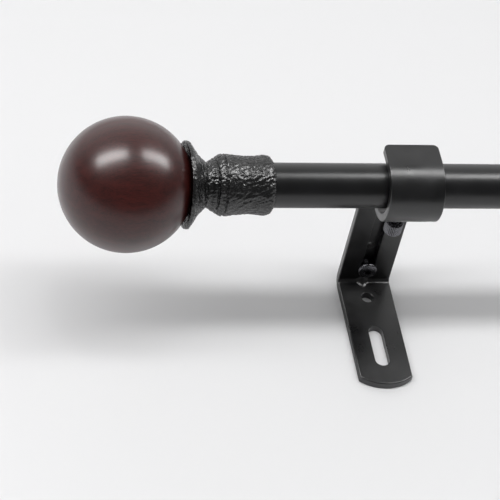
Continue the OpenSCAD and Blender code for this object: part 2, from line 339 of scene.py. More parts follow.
def makeGuides(look):
    bore = tubeRadius - tubeLook["wall"]
    slide = innerRadius + look["slideGap"]
    low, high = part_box("mouth_bush")
    sleeve = high.x - low.x - look["flange"]
    end = high.x - low.x
    profile = rounded([(0, slide), (0, bore - look["sleeveGap"]), (sleeve, bore - look["sleeveGap"]),
                       (sleeve, tubeRadius), (end, tubeRadius), (end, slide)], look["edge"])
    bush = turnedPiece("mouth_bush_moulding", profile, alongRod(low.x), blackNylon, look["steps"])
    place(bush, "outer_rod", "black_plastic", "mouth_bush")

    low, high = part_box("tail_bush")
    onInner = innerRadius + look["sleeveGap"]
    profile = tubeProfile(bore - look["slideGap"], onInner, high.x - low.x, look["edge"])
    bush = turnedPiece("tail_bush_moulding", profile, alongRod(low.x), whiteNylon, look["steps"])
    place(bush, "inner_rod", "nylon", "tail_bush")

    low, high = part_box("end_adapter")
    profile = tubeProfile(tubeRadius, onInner, high.x - low.x, look["edge"])
    sleeve = turnedPiece("end_adapter_moulding", profile, alongRod(low.x), blackNylon, look["steps"])
    place(sleeve, "inner_rod", "black_plastic", "end_adapter")


makeGuides(guideLook)
print("guides made")


# ---- ridges: one tree cuts the knurl on a head and the thread on a shank

def makeRidgeTree():
    # moves the points of a turned mesh that lies along Z outwards, in ridges round it or along it
    tree = bpy.data.node_groups.new("ridges", "GeometryNodeTree")
    for name, kind in (("Mesh", "NodeSocketGeometry"), ("Ridges around", "NodeSocketFloat"),
                       ("Ridges per metre", "NodeSocketFloat"), ("Height", "NodeSocketFloat"),
                       ("Where", "NodeSocketString"), ("Finish", "NodeSocketMaterial")):
        tree.interface.new_socket(name, in_out="INPUT", socket_type=kind)
    tree.interface.new_socket("Mesh", in_out="OUTPUT", socket_type="NodeSocketGeometry")
    given = addNode(tree, "NodeGroupInput").outputs
    spot = addNode(tree, "GeometryNodeInputPosition")
    axes = addNode(tree, "ShaderNodeSeparateXYZ", {"Vector": spot.outputs["Position"]})

    def maths(operation, *values):
        node = addNode(tree, "ShaderNodeMath", dict(enumerate(values)), operation=operation)
        return node.outputs["Value"]

    turn = maths("DIVIDE", maths("ARCTAN2", axes.outputs["Y"], axes.outputs["X"]), 2 * math.pi)
    phase = maths("SUBTRACT", maths("MULTIPLY", axes.outputs["Z"], given["Ridges per metre"]),
                  maths("MULTIPLY", turn, given["Ridges around"]))
    wave = maths("PINGPONG", phase, 0.5)                     # 0 in a groove, 0.5 on a crest
    steep, softness = 2.4, 0.25
    crest = maths("SMOOTH_MIN", maths("MULTIPLY", wave, steep), 1.0, softness)
    mask = addNode(tree, "GeometryNodeInputNamedAttribute", {"Name": given["Where"]}, data_type="FLOAT")
    height = maths("MULTIPLY", maths("MULTIPLY", crest, mask.outputs["Attribute"]), given["Height"])
    flat = addNode(tree, "ShaderNodeCombineXYZ", {"X": axes.outputs["X"], "Y": axes.outputs["Y"]})
    outward = addNode(tree, "ShaderNodeVectorMath", {0: flat.outputs["Vector"]}, operation="NORMALIZE")
    push = addNode(tree, "ShaderNodeVectorMath", {0: outward.outputs["Vector"], "Scale": height},
                   operation="SCALE")
    moved = addNode(tree, "GeometryNodeSetPosition", {
        "Geometry": given["Mesh"], "Offset": push.outputs["Vector"]})
    real = addNode(tree, "GeometryNodeRealizeInstances", {"Geometry": moved.outputs["Geometry"]})
    finish = addNode(tree, "GeometryNodeSetMaterial", {
        "Geometry": real.outputs["Geometry"], "Material": given["Finish"]})
    addNode(tree, "NodeGroupOutput", {"Mesh": finish.outputs["Geometry"]})
    return tree


ridgeTree = makeRidgeTree()


def runTree(piece, tree, values):
    # gives a piece what a tree makes of it, as a plain mesh, with the modifier gone
    modifier = piece.modifiers.new(tree.name, "NODES")
    modifier.node_group = tree
    sockets = {item.name: item.identifier for item in tree.interface.items_tree if item.in_out == "INPUT"}
    for name, value in values.items():
        modifier[sockets[name]] = value
    return applied(piece)


def applied(piece):
    graph = bpy.context.evaluated_depsgraph_get()
    mesh = bpy.data.meshes.new_from_object(piece.evaluated_get(graph), depsgraph=graph)
    piece.modifiers.clear()
    piece.data = mesh
    return piece


def markWhere(mesh, name, test):
    # a mask of 0 or 1 on the points that a tree may move
    mask = mesh.attributes.new(name, "FLOAT", "POINT")
    for vertex, item in zip(mesh.vertices, mask.data):
        item.value = 1.0 if test(vertex.co) else 0.0


def evenly(first, last, step):
    # places from first to last, about a step apart
    count = max(1, round(abs(last - first) / step))
    return [first + (last - first) * k / count for k in range(count + 1)]


def screwBlank(name, head, shank, look, material):
    # A turned screw along Z. The head's outline comes first, from its crown to its underside; the
    # shank runs up from there. Rings are close together where the thread or the knurl goes.
    coreRadius, length = shank
    base = head[-1][0]
    threadPlaces = evenly(look["runout"], length - look["point"], look["pitch"] / 8)
    thread = [(base + along, coreRadius) for along in threadPlaces]
    tip = [(base + length, coreRadius - look["point"] * 0.6), (base + length, 0)]
    profile = head + [(base, coreRadius)] + thread + tip
    points, faces, _ = turned(profile, look["steps"])
    mesh = bpy.data.meshes.new(name)
    mesh.from_pydata(points, [], faces)
    mesh.shade_smooth()
    threadLow, threadHigh = base + look["runout"] * 0.9, base + length - look["point"] * 1.1
    markWhere(mesh, "thread", lambda spot: threadLow < spot.z < threadHigh)
    return newObject(name, mesh, material)


def finishScrew(piece, look, matrix, material):
    runTree(piece, ridgeTree, {"Ridges around": 1.0, "Ridges per metre": 1 / look["pitch"],
                               "Height": look["threadDepth"], "Where": "thread", "Finish": material})
    sharpFrom = math.radians(38)
    piece.data.set_sharp_from_angle(angle=sharpFrom)
    piece.data.transform(matrix)


def cutCross(piece, headRadius, look):
    # a cross recess in a screw's crown, with walls that lean in as a driver's tip does
    cutter = bmesh.new()
    tipShare = 0.45
    half, slit, depth = headRadius * look["crossReach"], headRadius * look["crossSlit"], look["crossDepth"]
    for turn in (0, math.pi / 2):
        corners = []
        for level, shrink in ((-headRadius, 1.0), (depth, tipShare)):
            for x, y in ((-1, -1), (1, -1), (1, 1), (-1, 1)):
                spot = Vector((x * half * shrink, y * slit / 2, level))
                corners.append(cutter.verts.new(Matrix.Rotation(turn + look["crossTurn"], 3, "Z") @ spot))
        for ring in ((3, 2, 1, 0), (4, 5, 6, 7), (0, 1, 5, 4), (1, 2, 6, 5), (2, 3, 7, 6), (3, 0, 4, 7)):
            cutter.faces.new([corners[k] for k in ring])
    mesh = bpy.data.meshes.new("cross_cutter")
    cutter.to_mesh(mesh)
    cutter.free()
    tool = newObject("cross_cutter", mesh, None)
    cut = piece.modifiers.new("cross", "BOOLEAN")
    cut.operation, cut.solver, cut.use_self, cut.object = "DIFFERENCE", "EXACT", True, tool
    applied(piece)
    bpy.data.objects.remove(tool)
    return piece


# Thumb screw: a small straight-knurled barrel on a 4 mm thread, head down
thumbLook = {"headLength": 5.5 * mm, "chamfer": 0.5 * mm, "teeth": 30, "knurlDepth": 0.28 * mm,
             "knurlStep": 0.3 * mm, "neck": 0.5 * mm, "core": 1.65 * mm, "pitch": 0.7 * mm,
             "threadDepth": 0.33 * mm, "runout": 0.5 * mm, "point": 0.6 * mm, "steps": 180}


def makeThumbScrew(side, look):
    low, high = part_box(side + "_thumb_screw")
    radius, length = (high.x - low.x) / 2, look["headLength"]
    root, chamfer = radius - look["knurlDepth"], look["chamfer"]
    faceEdge, slopeStart, slopeIn = root - chamfer * 1.3, chamfer * 0.25, root - chamfer * 0.6
    head = [(0, 0), (0, faceEdge), (slopeStart, slopeIn)]
    head += [(along, root) for along in evenly(chamfer, length - chamfer, look["knurlStep"])]
    head += [(length - slopeStart, slopeIn), (length, faceEdge), (length, look["core"] + look["neck"])]
    name = side + "_thumb_screw_turned"
    piece = screwBlank(name, head, (look["core"], high.z - low.z - length), look, blackOxide)
    markWhere(piece.data, "knurl", lambda spot: chamfer * 0.9 < spot.z < length - chamfer * 0.9
              and math.hypot(spot.x, spot.y) > root * 0.98)
    runTree(piece, ridgeTree, {"Ridges around": float(look["teeth"]), "Ridges per metre": 0.0,
                               "Height": look["knurlDepth"], "Where": "knurl", "Finish": blackOxide})
    middle = (low + high) / 2
    finishScrew(piece, look, Matrix.Translation((middle.x, middle.y, low.z)), blackOxide)
    place(piece, side + "_thumb_screw", "black_screw", side + "_thumb_screw")


# Clamp screw: a low pan head with a cross recess, facing the front
clampLook = {"headHeight": 1.9 * mm, "rim": 0.35 * mm, "core": 1.65 * mm, "pitch": 0.7 * mm,
             "threadDepth": 0.33 * mm, "runout": 0.6 * mm, "point": 0.5 * mm, "steps": 72,
             "crossReach": 0.56, "crossSlit": 0.24, "crossDepth": 1.3 * mm, "crossTurn": math.radians(38)}


def panHead(radius, height, rim):
    # crown to underside: a shallow dome that rolls into a short upright rim
    domeShare, domeSteps, rollSteps = 0.80, 6, 7
    domeRise, domeEnd = height * 0.36, height * 0.23
    outline = [(0, 0)]
    for k in range(1, domeSteps + 1):
        t = k / domeSteps * domeShare
        outline.append((domeRise * t ** 2, radius * t))
    for k in range(1, rollSteps + 1):
        turn = k / rollSteps * math.pi / 2
        outline.append((domeEnd + (height - rim - domeEnd) * (1 - math.cos(turn)),
                        radius * (domeShare + (1 - domeShare) * math.sin(turn))))
    outline += [(height - rim * 0.3, radius), (height, radius - rim * 0.35)]
    return outline


def makeClampScrew(side, look):
    low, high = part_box(side + "_clamp_screw")
    radius, height = (high.x - low.x) / 2, look["headHeight"]
    head = panHead(radius, height, look["rim"])
    name = side + "_clamp_screw_pan_head"
    piece = screwBlank(name, head, (look["core"], high.y - low.y - height), look, blackOxide)
    cutCross(piece, radius, look)
    middle = (low + high) / 2
    matrix = Matrix.Translation((middle.x, low.y, middle.z)) @ Matrix.Rotation(-math.pi / 2, 4, "X")
    finishScrew(piece, look, matrix, blackOxide)
    place(piece, side + "_clamp_screw", "black_screw", side + "_clamp_screw")


for side in sides:
    makeThumbScrew(side, thumbLook)
    makeClampScrew(side, clampLook)
print("bracket screws made")


# ---- finials, drawn along Z from the middle of the ball and turned onto each end of the rod

def onRodEnd(side):
    low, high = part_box(side + "_finial_ball")
    radius = (high.z - low.z) / 2
    middle, turn = (low.x + radius, math.pi / 2) if side == "left" else (high.x - radius, -math.pi / 2)
    return Matrix.Translation((middle, rodY, rodZ)) @ Matrix.Rotation(turn, 4, "Y")


def alongFinial(side, node):
    # where a node starts and ends, counted from the middle of the ball
    low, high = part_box(node)
    middle = onRodEnd(side).translation.x
    return (low.x - middle, high.x - middle) if side == "left" else (middle - high.x, middle - low.x)


ballLook = {"boreWall": 0.02 * mm, "boreRelief": 1.0 * mm, "boreEdge": 0.3 * mm, "seatEdge": 0.5 * mm,
            "seatRise": 0.08 * mm, "steps": 144, "rings": 72}


def makeBall(side, look):
    low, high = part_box(side + "_finial_ball")
    radius = (high.z - low.z) / 2
    seat = alongFinial(side, side + "_finial_ball")[1]
    insertLow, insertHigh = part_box(side + "_finial_insert")
    bore = (insertHigh.z - insertLow.z) / 2 + look["boreWall"]
    floor = alongFinial(side, side + "_finial_insert")[0] - look["boreRelief"]
    edge = math.acos(seat / radius) + look["seatEdge"] / radius
    profile = [(-radius, 0)]
    for k in range(1, look["rings"] + 1):
        turn = math.pi + (edge - math.pi) * k / look["rings"]
        profile.append((radius * math.cos(turn), radius * math.sin(turn)))
    seatRadius = radius * math.sin(math.acos(seat / radius))
    profile += [(seat - look["seatRise"], seatRadius), (seat, seatRadius - look["seatEdge"])]
    profile += [(seat, bore + look["boreEdge"]), (seat - look["boreEdge"], bore), (floor, bore), (floor, 0)]
    ball = turnedPiece(side + "_finial_ball_turned", profile, onRodEnd(side), stainedWood, look["steps"])
    place(ball, side + "_finial", "ball_wood", side + "_finial_ball")


# Cast collar: lumps, pits and streaks, whose widths are in millimetres, on a smooth turned form.
# The barrel dips this far below the shoulder, at these distances from its open end.
collarLook = {"rimRadius": 15.4 * mm, "rimEdge": 0.3 * mm, "dishIn": 1.1 * mm, "dishDown": 2.9 * mm,
              "lip": 1.4 * mm, "flare": 6.2 * mm, "waist": 7.7 * mm, "cone": 5.1 * mm,
              "shoulder": 10.85 * mm, "hollow": 0.75 * mm, "grooveWide": 0.8 * mm, "grooveDeep": 0.85 * mm,
              "barrel": ((5.0 * mm, 0.55 * mm), (2.5 * mm, 0.2 * mm), (1.0 * mm, 0.65 * mm)),
              "endWall": 1.2 * mm, "endEdge": 0.3 * mm, "seatRadius": 8.3 * mm, "bore": 8.08 * mm,
              "screwHole": 3.2 * mm, "socket": 16.9 * mm, "rimReach": 1.8 * mm, "cornerRadius": 0.9 * mm,
              "ringAt": 0.6, "flareHollow": (0.4 * mm, 0.5 * mm), "step": 0.25 * mm, "steps": 264,
              "lump": 0.95, "lumpHeight": 0.20 * mm, "pit": 0.55, "pitHeight": 0.13 * mm,
              "pitMiddle": 0.25, "streakLong": 3.0, "streakWide": 0.75, "streakHeight": 0.24 * mm,
              "twist": 0.045, "flareLong": 3.75, "flareWide": 0.5, "blend": 3.0 * mm, "seatFade": 6,
              "endFade": 4}


def ringGroove(look, at, radius, slope=0.0):
    # a narrow ring cut into the casting, on a face that climbs by slope
    half = look["grooveWide"] / 2
    return [(at - half, radius - slope * half), (at, radius - look["grooveDeep"]),
            (at + half, radius + slope * half)]


def collarOutline(look, seat, end):
    # the cast face, from the seat under the ball round the rim and along the barrel to the open end
    rim = seat - look["rimReach"]
    back = rim + look["lip"]
    waistAt = back + look["flare"]
    shoulderAt = waistAt + look["cone"]
    r, waist, shoulder, crisp = look["rimRadius"], look["waist"], look["shoulder"], look["rimEdge"]
    slope = (shoulder - waist) / look["cone"]
    coneRing = look["ringAt"] * look["cone"]
    inward, down = look["flareHollow"]
    corners = [(seat, look["seatRadius"]), (rim + look["dishIn"], r - look["dishDown"])]
    corners += [(rim, r - look["dishIn"]), (rim, r - crisp), (rim, r), (rim + crisp, r), (back - crisp, r),
                (back, r - crisp)]
    corners += [((back + waistAt) / 2 - inward, (r + waist) / 2 - down), (waistAt, waist)]
    corners += ringGroove(look, waistAt + coneRing, waist + slope * coneRing, slope)
    corners += [(shoulderAt, shoulder)] + ringGroove(look, shoulderAt + look["grooveWide"], shoulder)
    corners += [((shoulderAt + end) / 2, shoulder - look["hollow"])]
    corners += [(end - before, shoulder - dip) for before, dip in look["barrel"]]
    wall = look["bore"] + look["endWall"]
    return corners + [(end, wall), (end, wall - look["endEdge"])]


def softened(corners, radius, step):
    # rounds the inner corners of an open outline and spaces its points evenly
    smooth = [corners[0]]
    for before, here, after in zip(corners, corners[1:], corners[2:]):
        smooth += cornerArc(before, here, after, radius, 4)
    smooth.append(corners[-1])
    lengths = [0.0]
    for a, b in zip(smooth, smooth[1:]):
        lengths.append(lengths[-1] + (Vector(b) - Vector(a)).length)
    out, k = [], 0
    for want in evenly(0.0, lengths[-1], step):
        while k < len(lengths) - 2 and lengths[k + 1] < want:
            k += 1
        share = (want - lengths[k]) / max(lengths[k + 1] - lengths[k], 1e-9)
        out.append(tuple(Vector(smooth[k]).lerp(Vector(smooth[k + 1]), min(share, 1.0))))
    return out


def castLumps(spot, radius, look, flareShare):
    # height of the casting's skin at a point: lumps, pits between them, and streaks that run along
    # the barrel and round the flare
    along, turn = spot.z / mm, math.atan2(spot.y, spot.x)
    here = Vector((spot.x, spot.y, spot.z)) / mm
    elsewhere = Vector((7, 3, 1))                          # so that the pits don't follow the lumps
    lump = noise.noise(here / look["lump"])
    pit = -abs(noise.noise(here / look["pit"] + elsewhere))

    def streaks(angle, across, lengthways):
        reach = radius / mm / across
        return noise.noise(Vector((reach * math.cos(angle), reach * math.sin(angle), along / lengthways)))

    barrel = streaks(turn + along * look["twist"], look["streakWide"], look["streakLong"])
    flare = streaks(turn, look["flareLong"], look["flareWide"])
    streak = barrel * (1 - flareShare) + flare * flareShare
    pits = (pit + look["pitMiddle"]) * look["pitHeight"]
    return lump * look["lumpHeight"] + pits + streak * look["streakHeight"]


def makeCollar(side, look):
    seat, end = alongFinial(side, side + "_finial_collar")
    seat += look["rimReach"]
    outside = softened(collarOutline(look, seat, end), look["cornerRadius"], look["step"])
    bore, bottom, edge = look["bore"], end - look["socket"], look["endEdge"]
    inside = [(end, bore + edge), (end - edge, bore), (bottom, bore), (bottom, look["screwHole"]),
              (seat, look["screwHole"])]
    points, faces, normals = turned(outside + inside, look["steps"])
    castPoints = len(outside) * look["steps"]
    waistAt = seat - look["rimReach"] + look["lip"] + look["flare"]
    for k in range(castPoints):
        radius = math.hypot(points[k].x, points[k].y)
        fromSeat, fromEnd = k // look["steps"], (castPoints - 1 - k) // look["steps"]
        fade = min(1.0, fromSeat / look["seatFade"], fromEnd / look["endFade"])
        flareShare = min(1.0, max(0.0, (waistAt - points[k].z) / look["blend"] + 0.5))
        points[k] = points[k] + normals[k] * castLumps(points[k], radius, look, flareShare) * fade
    mesh = bpy.data.meshes.new(side + "_finial_collar_cast")
    matrix = onRodEnd(side)
    mesh.from_pydata([matrix @ p for p in points], [], faces)
    mesh.shade_smooth()
    collar = newObject(side + "_finial_collar_cast", mesh, castBlack)
    place(collar, side + "_finial", "cast_collar", side + "_finial_collar")


# The screw that holds the ball, and the brass insert that it bites in
innerScrewLook = {"headRadius": 5.0 * mm, "headHeight": 3.2 * mm, "rim": 0.5 * mm, "core": 2.55 * mm,
                  "pitch": 1.0 * mm, "threadDepth": 0.43 * mm, "runout": 0.8 * mm, "point": 0.8 * mm,
                  "steps": 64, "crossReach": 0.55, "crossSlit": 0.26, "crossDepth": 1.8 * mm,
                  "crossTurn": math.radians(45), "insertWall": 0.47 * mm, "insertEdge": 0.3 * mm}


def makeFinialScrew(side, look):
    near, far = alongFinial(side, side + "_finial_screw")
    name = side + "_finial_screw_machined"
    head = panHead(look["headRadius"], look["headHeight"], look["rim"])
    piece = screwBlank(name, head, (look["core"], far - near - look["headHeight"]), look, zincSteel)
    cutCross(piece, look["headRadius"], look)
    turn = Matrix.Translation((0, 0, far)) @ Matrix.Rotation(math.pi, 4, "X")
    finishScrew(piece, look, onRodEnd(side) @ turn, zincSteel)
    place(piece, side + "_finial", "plain_steel", side + "_finial_screw")

    near, far = alongFinial(side, side + "_finial_insert")
    low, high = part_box(side + "_finial_insert")
    bore = look["core"] + look["insertWall"]
    outline = tubeProfile((high.z - low.z) / 2, bore, far - near, look["insertEdge"])
    profile = [(along + near, radius) for along, radius in outline]
    name = side + "_finial_insert_turned"
    insert = turnedPiece(name, profile, onRodEnd(side), turnedBrass, look["steps"])
    place(insert, side + "_finial", "brass", side + "_finial_insert")


for side in sides:
    makeBall(side, ballLook)
    makeCollar(side, collarLook)
    makeFinialScrew(side, innerScrewLook)
print("finials made")


# ---- bent strip: blanked flat, its edges rolled, then folded along a path

def arcPoints(along, across, radius, first, last, bits):
    # points on an arc in the flat blank; angles in degrees
    turns = [math.radians(first + (last - first) * k / bits) for k in range(bits + 1)]
    return [(along + radius * math.cos(turn), across + radius * math.sin(turn)) for turn in turns]


def slotLoop(along, width, length, bits=14):
    # a round-ended slot along the strip, clockwise because it is a hole; equal sizes give a round hole
    reach = (length - width) / 2
    upTo = -1 if reach < 1e-9 else None                    # a round hole's arcs share their ends
    return (arcPoints(along + reach, 0, width / 2, 90, -90, bits)[:upTo]
            + arcPoints(along - reach, 0, width / 2, -90, -270, bits)[:upTo])


def tappedWall(thickness, roll, pitch, threadDepth):
    # rows of a tapped hole's wall between its two rounded edges: inset, depth and the way each faces
    turns = max(1, round((thickness - 2 * roll) / pitch))
    rows = []
    for k in range(1, 4 * turns):
        phase = k * math.pi / 2
        slope = threadDepth * math.pi / pitch * math.sin(phase)
        size = math.hypot(1, slope)
        inset = threadDepth * (1 - math.cos(phase)) / 2
        rows.append((inset, roll + (thickness - 2 * roll) * k / (4 * turns), 1 / size, slope / size))
    return rows


def blank(loops, thickness, edge, holeEdge, thread=None, bits=3):
    # A flat sheet in millimetres: along x, across y, thickness z. The first loop is its outline and
    # runs anticlockwise; the others are holes and run clockwise. Each point carries its normal.
    # A thread, if there is one, is its pitch and depth, and is cut into every hole.
    sheet = bmesh.new()
    layer = sheet.verts.layers.float_vector.new("facing")
    turns = [k / bits * math.pi / 2 for k in range(bits + 1)]
    rims = {"low": [], "high": []}
    for loop in loops:
        count, roll = len(loop), edge if loop is loops[0] else holeEdge
        rounds = [(roll * (1 - math.sin(a)), roll * (1 - math.cos(a)), math.sin(a), -math.cos(a))
                  for a in turns]
        farRounds = [(inset, thickness - depth, out, -up) for inset, depth, out, up in reversed(rounds)]
        if thread and loop is not loops[0]:
            rounds += tappedWall(thickness, roll, *thread)
        rounds += farRounds
        outward = []
        for i in range(count):
            here = Vector(loop[i])
            into = (here - Vector(loop[i - 1])).normalized()
            away = (Vector(loop[(i + 1) % count]) - here).normalized()
            bisector = (into + away).normalized()
            outward.append((Vector((bisector.y, -bisector.x)), max(0.5, bisector.dot(into))))
        rings = []
        for inset, depth, out, up in rounds:
            ring = []
            for spot, (outwards, fit) in zip(loop, outward):
                point = Vector(spot) - outwards * inset / fit
                vertex = sheet.verts.new((point.x, point.y, depth))
                vertex[layer] = Vector((outwards.x * out, outwards.y * out, up))
                ring.append(vertex)
            rings.append(ring)
        for low, high in zip(rings, rings[1:]):
            for i in range(count):
                n = (i + 1) % count
                sheet.faces.new((low[i], low[n], high[n], high[i]))
        for level, ring in (("low", rings[0]), ("high", rings[-1])):
            rims[level] += [sheet.edges.get((ring[i], ring[(i + 1) % count])) for i in range(count)]
    for level, facing in (("low", -1), ("high", 1)):
        filled = bmesh.ops.triangle_fill(sheet, use_beauty=True, edges=rims[level], normal=(0, 0, facing))
        for face in filled["geom"]:
            if isinstance(face, bmesh.types.BMFace):
                face.normal_update()
                if face.normal.z * facing < 0:
                    face.normal_flip()
    return sheet, layer


def divide(sheet, places, axis, within=None):
    # cuts the sheet across at each place, so that it can fold there
    for where in places:
        faces = [f for f in sheet.faces
                 if within is None or within[0] < f.calc_center_median()[0] < within[1]]
        geometry = set(faces)
        for face in faces:
            geometry.update(face.edges)
            geometry.update(face.verts)
        spot = [0, 0, 0]
        spot[axis] = where
        direction = [0, 0, 0]
        direction[axis] = 1
        bmesh.ops.bisect_plane(sheet, geom=list(geometry), dist=1e-5, plane_co=spot, plane_no=direction)


def follow(start, heading, path, along, depth):
    # The point at this depth under the strip's face, this far along its path. A stretch is its length
    # in the blank, then its real length, or its radius with the angle it turns through.
    spot = Vector(start)
    for length, size, angle in path:
        step = min(along, length)
        ahead = Vector((math.cos(heading), math.sin(heading)))
        if angle == 0:
            spot += ahead * size * (step / length)
        else:
            hand = math.copysign(1, angle)
            centre = spot + Vector((-ahead.y, ahead.x)) * hand * size
            heading += angle * step / length
            ahead = Vector((math.cos(heading), math.sin(heading)))
            spot = centre - Vector((-ahead.y, ahead.x)) * hand * size
        along -= step
        if along <= 1e-9:
            break
    return spot + Vector((ahead.y, -ahead.x)) * depth


def fold(name, sheet, layer, centre, start, heading, pathAt, material):
    # folds a sheet along its path, and turns its normals by the same bend
    def folded(spot):
        place2d = follow(start, heading, pathAt(spot.y), spot.x, spot.z)
        return Vector((centre + spot.y, place2d.x, place2d.y))

    tiny = 1e-3
    points, normals = [], []
    for vertex in sheet.verts:
        spot = vertex.co.copy()
        columns = []
        for axis in range(3):
            shift = Vector((0, 0, 0))
            shift[axis] = tiny
            columns.append((folded(spot + shift) - folded(spot - shift)) / (2 * tiny))
        bend = Matrix(columns).transposed()
        facing = vertex[layer]
        normals.append((bend.inverted_safe().transposed() @ facing).normalized())
        points.append(folded(spot))
    for vertex, point in zip(sheet.verts, points):
        vertex.co = point * mm
    mesh = bpy.data.meshes.new(name)
    sheet.to_mesh(mesh)
    sheet.free()
    mesh.shade_smooth()
    mesh.normals_split_custom_set_from_vertices([tuple(n) for n in normals])
    return newObject(name, mesh, material)


# Sizes of the wall bracket in millimetres. The bend takes bendBlank of the blank's length, and a
# pressed rib makes it wider near the middle.
stripLook = {"thickness": 3.0, "edge": 0.45, "holeEdge": 0.2, "endRadius": 15.7, "armCorner": 3.0,
             "bendRadius": 1.5, "bendBlank": 4.0, "bendReach": 4.1, "bendCuts": 12, "ribRadius": 3.9,
             "ribHalf": 2.5, "ribAcross": -0.7, "ribStep": 0.33, "ribPower": 0.8, "holeWide": 4.6,
             "holeBehind": 6.85, "slotWide": 5.5, "slotLong": 19.0, "slotAhead": 16.75,
             "armSlotWide": 5.0, "armSlotTop": 6.0, "endBits": 20, "cornerBits": 8}


def makeWallBracket(side, look):
    low, high = (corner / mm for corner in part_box(side + "_wall_bracket"))
    screwLow, screwHigh = (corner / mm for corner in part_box(side + "_clamp_screw"))
    rod, half, thick = rodY / mm, (high.x - low.x) / 2, look["thickness"]
    armFront = high.y - thick
    reach = look["bendReach"]
    bendAt = armFront - reach - low.y                      # where the bend's zone starts, along the blank
    straight, curve = reach - look["bendRadius"], look["bendBlank"]
    bendEnd = bendAt + 2 * straight + curve
    armAt = bendEnd - (thick + reach)                      # the blank's place of z = 0 on the arm
    total = armAt + high.z

    sweep = math.degrees(math.asin(half / look["endRadius"]))
    corner, bits, endRadius = look["armCorner"], look["cornerBits"], look["endRadius"]
    outline = (arcPoints(endRadius, 0, endRadius, 180 - sweep, 180 + sweep, look["endBits"])
               + arcPoints(total - corner, corner - half, corner, -90, 0, bits)
               + arcPoints(total - corner, half - corner, corner, 0, 90, bits))
    slotLow = (screwLow.z + screwHigh.z) / 2 - look["armSlotWide"] / 2
    slotHigh = high.z - look["armSlotTop"]
    loops = [outline,
             slotLoop(rod - look["slotAhead"] - low.y, look["slotWide"], look["slotLong"]),
             slotLoop(rod + look["holeBehind"] - low.y, look["holeWide"], look["holeWide"]),
             slotLoop(armAt + (slotLow + slotHigh) / 2, look["armSlotWide"], slotHigh - slotLow)]
    sheet, layer = blank(loops, thick, look["edge"], look["holeEdge"])
    divide(sheet, [bendAt] + cuts(bendAt + straight, curve, look["bendCuts"]) + [bendEnd], 0)
    ribLow, ribHigh = look["ribAcross"] - look["ribHalf"], look["ribAcross"] + look["ribHalf"]
    divide(sheet, evenly(ribLow, ribHigh, look["ribStep"]), 1, (bendAt, bendEnd))

    def pathAt(across):
        # the rib is a strip of the bend with a wider radius
        off = min(1.0, abs(across - look["ribAcross"]) / look["ribHalf"])
        share = (0.5 + 0.5 * math.cos(math.pi * off)) ** look["ribPower"]
        radius = look["bendRadius"] + (look["ribRadius"] - look["bendRadius"]) * share
        return [(bendAt, bendAt, 0), (straight, reach - radius, 0), (curve, radius, math.pi / 2),
                (straight, reach - radius, 0), (total, total, 0)]

    centre, name = (low.x + high.x) / 2, side + "_wall_bracket_pressed"
    piece = fold(name, sheet, layer, centre, (low.y, thick), 0, pathAt, stripPaint)
    place(piece, side + "_wall_bracket", "bracket", side + "_wall_bracket")


# Sizes of the hook in millimetres; a thread is its pitch and depth
hookLook = {"thickness": 3.0, "edge": 0.45, "holeEdge": 0.15, "cupGap": 1.1, "cupDrop": 0.9, "lip": 9.75,
            "lipCorner": 2.0, "legBend": 1.5, "shoulderBack": 4.0, "shoulderCorner": 0.6,
            "legInset": 2.5, "legCorner": 1, "spareAbove": 9.8, "screwHole": 4.16, "spareHole": 3.3,
            "thread": (0.7, 0.3), "cornerBits": 6, "cupCuts": 56, "bendCuts": 12}


def makeHook(side, look):
    low, high = (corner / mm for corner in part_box(side + "_hook"))
    thumbLow, thumbHigh = (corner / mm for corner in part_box(side + "_thumb_screw"))
    screwLow, screwHigh = (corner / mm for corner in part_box(side + "_clamp_screw"))
    half, thick, centre = (high.x - low.x) / 2, look["thickness"], (low.x + high.x) / 2
    rod = rodY / mm
    cup = tubeRadius / mm + look["cupGap"]
    cupZ = rodZ / mm - look["cupDrop"]
    legFace = high.y                                        # the leg's far face, where the path ends up
    outerBend = look["legBend"] + thick
    lip = look["lip"]                                       # from the rod's axis to the cup's open edge
    cupLength = cup * math.pi
    run = legFace - outerBend - rod
    bendLength = (look["legBend"] + thick / 2) * math.pi / 2
    runZ = cupZ - cup                                       # the run's upper face
    leg = runZ - outerBend - low.z
    runAt = lip + cupLength
    bendAt = runAt + run
    legAt = bendAt + bendLength
    total = legAt + leg
    corner, bits = look["lipCorner"], look["cornerBits"]
    narrow = half - look["legInset"]
    step = bendAt - look["shoulderBack"]                   # the strip narrows here
    inner, end = look["shoulderCorner"], look["legCorner"]
    outline = (arcPoints(corner, corner - half, corner, 180, 270, bits)
               + [(step, -half)] + arcPoints(step + inner, -narrow - inner, inner, 180, 90, 3)
               + arcPoints(total - end, end - narrow, end, -90, 0, 4)
               + arcPoints(total - end, narrow - end, end, 0, 90, 4)
               + arcPoints(step + inner, narrow + inner, inner, 270, 180, 3) + [(step, half)]
               + arcPoints(corner, half - corner, corner, 90, 180, bits))
    clampAlong = legAt + runZ - outerBend - (screwLow.z + screwHigh.z) / 2
    loops = [outline,
             [(along, across + (thumbLow.x + thumbHigh.x) / 2 - centre) for along, across in
              slotLoop(runAt, look["screwHole"], look["screwHole"])],
             slotLoop(clampAlong, look["screwHole"], look["screwHole"]),
             slotLoop(clampAlong - look["spareAbove"], look["spareHole"], look["spareHole"])]
    sheet, layer = blank(loops, thick, look["edge"], look["holeEdge"], look["thread"])
    divide(sheet, cuts(lip, cupLength, look["cupCuts"]) + cuts(bendAt, bendLength, look["bendCuts"]), 0)
    path = [(lip, lip, 0), (cupLength, cup, math.pi), (run, run, 0), (bendLength, outerBend, -math.pi / 2),
            (leg, leg, 0)]
    start, name = (rod + lip, cupZ + cup), side + "_hook_pressed"
    piece = fold(name, sheet, layer, centre, start, math.pi, lambda across: path, stripPaint)
    place(piece, side + "_hook", "bracket", side + "_hook")


